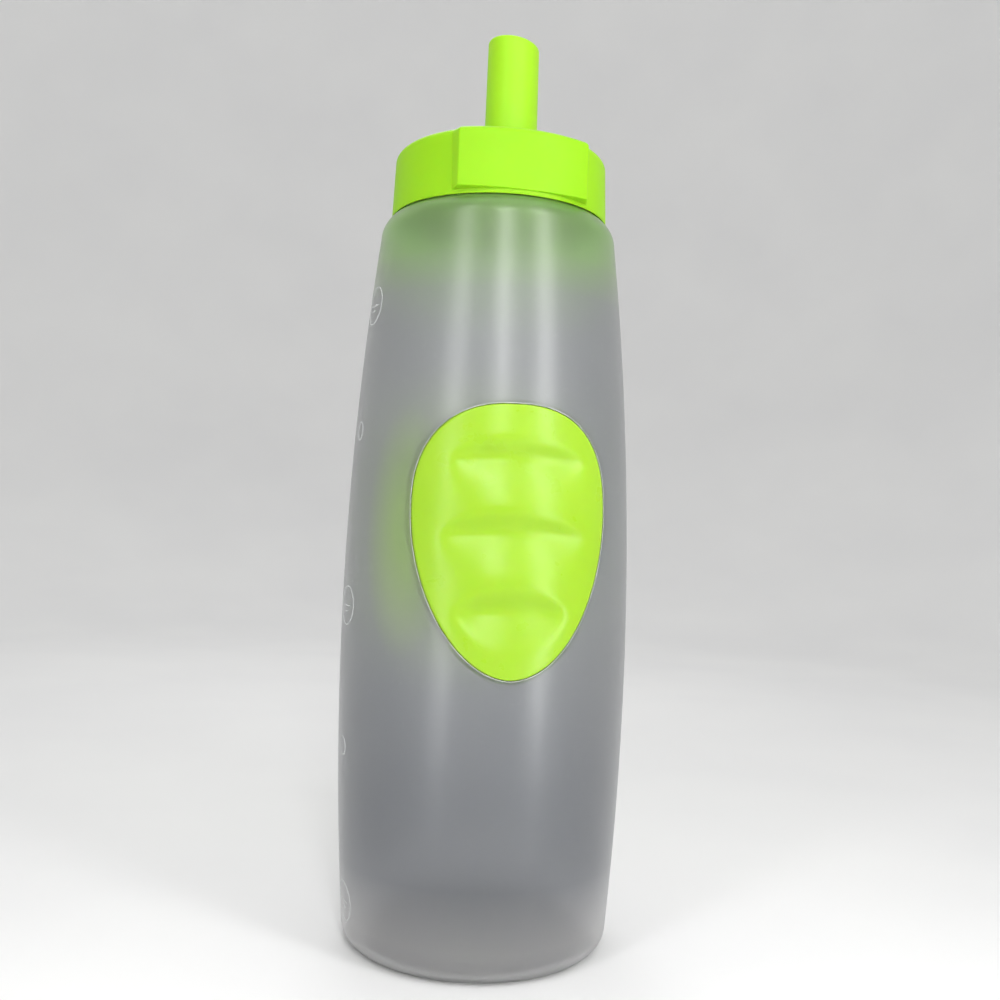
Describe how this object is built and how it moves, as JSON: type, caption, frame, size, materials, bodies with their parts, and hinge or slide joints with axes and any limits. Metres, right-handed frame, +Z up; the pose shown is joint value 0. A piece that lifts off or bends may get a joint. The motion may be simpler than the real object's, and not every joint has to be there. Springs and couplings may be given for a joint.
{
  "type": "sports squeeze bottle",
  "caption": "Barrel-shaped frosted squeeze bottle with egg-shaped finger-grip pads, a screw cap with raised grip faces and a tall straight drinking spout.",
  "frame": {"origin": "centre of the base, on the plane that the bottle stands on", "axes": "+Z up along the bottle's axis, -Y out through the front grip pad, -X towards the volume marks"},
  "size_m": [0.073, 0.0736, 0.2324],
  "materials": {
    "frosted_wall": "frosted, milky, translucent soft polyethylene with a satin skin",
    "grip_pad": "smooth satin-gloss soft-touch elastomer, lime green",
    "cap_plastic": "satin moulded plastic, lime green",
    "spout_plastic": "satin soft plastic tube, lime green",
    "silicone": "milky translucent silicone",
    "retainer_plastic": "natural white moulded plastic"
  },
  "bodies": {
    "bottle": {"bottle_body": "frosted_wall", "front_grip_pad": "grip_pad", "rear_grip_pad": "grip_pad"},
    "seal": {"cap_seal_ring": "silicone"},
    "cap": {"screw_cap": "cap_plastic", "spout_tube": "spout_plastic", "self_closing_valve": "silicone", "valve_retainer_ring": "retainer_plastic"}
  },
  "joints": [
    {"name": "cap_lift", "type": "slide", "parent": "bottle", "child": "seal", "axis": [0, 0, 1], "range_m": [0, 0.0151]},
    {"name": "cap_turn", "type": "hinge", "parent": "seal", "child": "cap", "pos_m": [0, 0, 0.19], "axis": [0, 0, 1], "range_deg": [0, 1080]}
  ],
  "couplings": [
    {"joint": "cap_lift", "follows": "cap_turn", "m_per_rad": 0.00079577}
  ]
}
